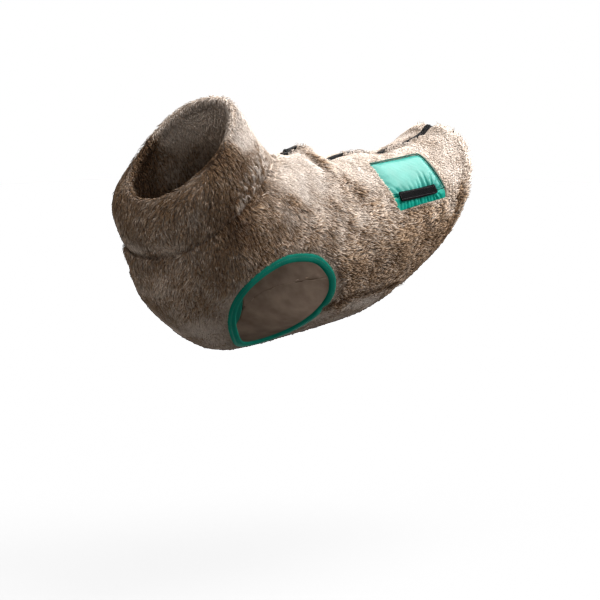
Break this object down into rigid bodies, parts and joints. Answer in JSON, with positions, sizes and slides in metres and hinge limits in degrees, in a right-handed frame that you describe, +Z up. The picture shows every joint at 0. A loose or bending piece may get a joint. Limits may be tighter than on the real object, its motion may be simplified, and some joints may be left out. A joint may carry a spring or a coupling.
{
  "type": "dog winter coat",
  "caption": "Worn, hollow plush fleece coat for a small dog: tall roll collar, bound armholes, back zip and a small satin flank pocket.",
  "frame": {"origin": "on the inner face of the back, on the midline just behind the collar seam, where the wearer's back holds the coat up", "axes": "+X the wearer's left, the side of the pocket; -Y towards the head and +Y towards the tail; +Z up"},
  "size_m": [0.2, 0.5321, 0.3204],
  "materials": {
    "fleece": "taupe plush fleece with a lying pile",
    "binding": "emerald knit binding",
    "zip": "black woven tape with a nylon coil",
    "slider": "black lacquer",
    "satin": "mint satin",
    "pocket_edge": "dark green folded edge",
    "label": "bare black woven strip"
  },
  "bodies": {
    "coat": {"body_left": "fleece", "body_right": "fleece", "chest": "fleece", "collar": "fleece", "binding_left": "binding", "binding_right": "binding", "zip_left": "zip", "zip_right": "zip", "slider": "slider", "pocket_panel": "satin", "pocket_band": "satin", "pocket_edge": "pocket_edge", "label": "label"},
    "tab": {"pull_tab": "slider"}
  },
  "joints": [
    {"name": "tab_hinge", "type": "hinge", "parent": "coat", "child": "tab", "pos_m": [0, 0.00975, 0.00968], "axis": [1, 0, 0], "range_deg": [0, 150]}
  ]
}
